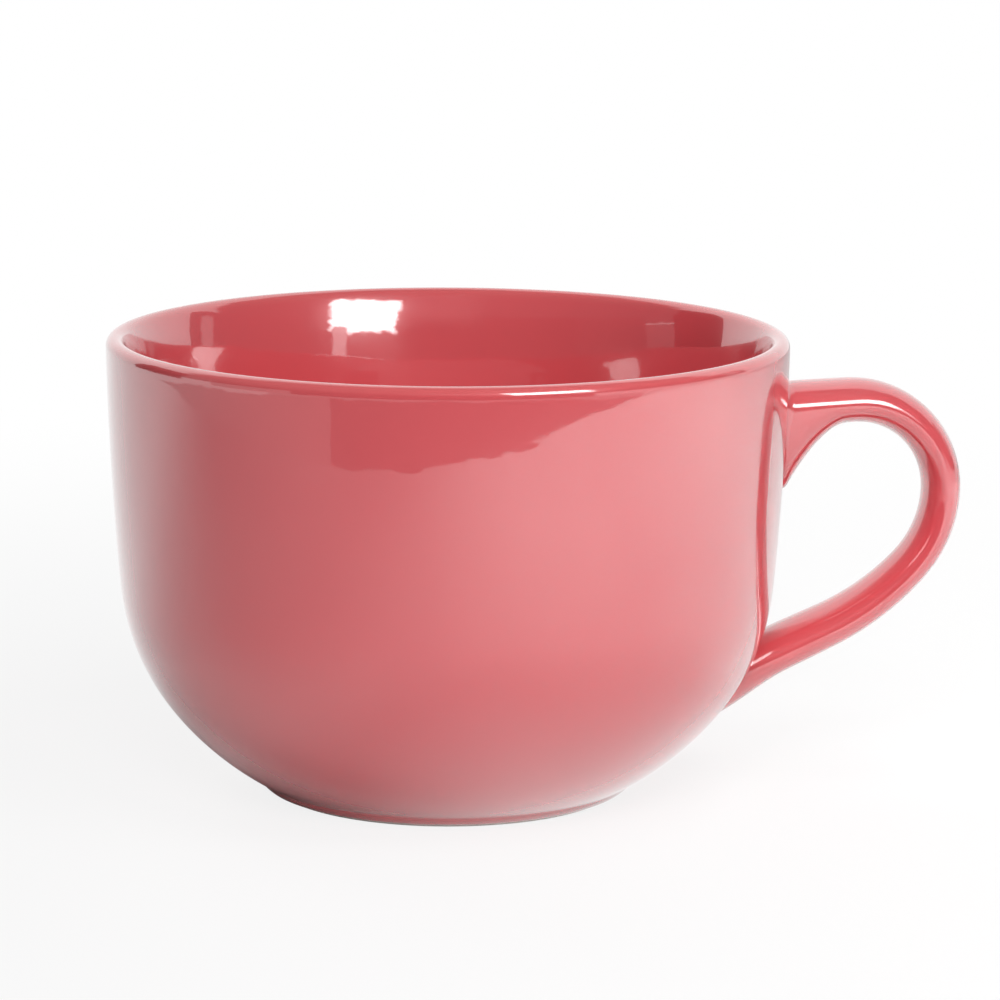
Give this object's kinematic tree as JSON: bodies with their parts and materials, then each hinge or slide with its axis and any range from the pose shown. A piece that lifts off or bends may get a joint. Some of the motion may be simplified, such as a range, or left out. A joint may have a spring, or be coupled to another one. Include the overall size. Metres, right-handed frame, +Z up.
{
  "type": "soup mug",
  "caption": "Wide round mug with a rounded lip, an upright wall that turns under to a low foot, and one ear-shaped strap handle; holds soup or a hot drink.",
  "frame": {"origin": "the cup's axis, in the plane of the ring that the mug stands on", "axes": "+Z up along the cup's axis, +X from the axis towards the handle"},
  "size_m": [0.1653, 0.13, 0.088],
  "materials": {
    "red_glaze": "glossy coral-red glaze over stoneware",
    "bare_clay": "matte unglazed clay, wiped and fired"
  },
  "bodies": {
    "root": {"cup_body": "red_glaze", "foot_ring": "bare_clay", "handle": "red_glaze", "upper_slip": "red_glaze", "lower_slip": "red_glaze"}
  },
  "joints": []
}
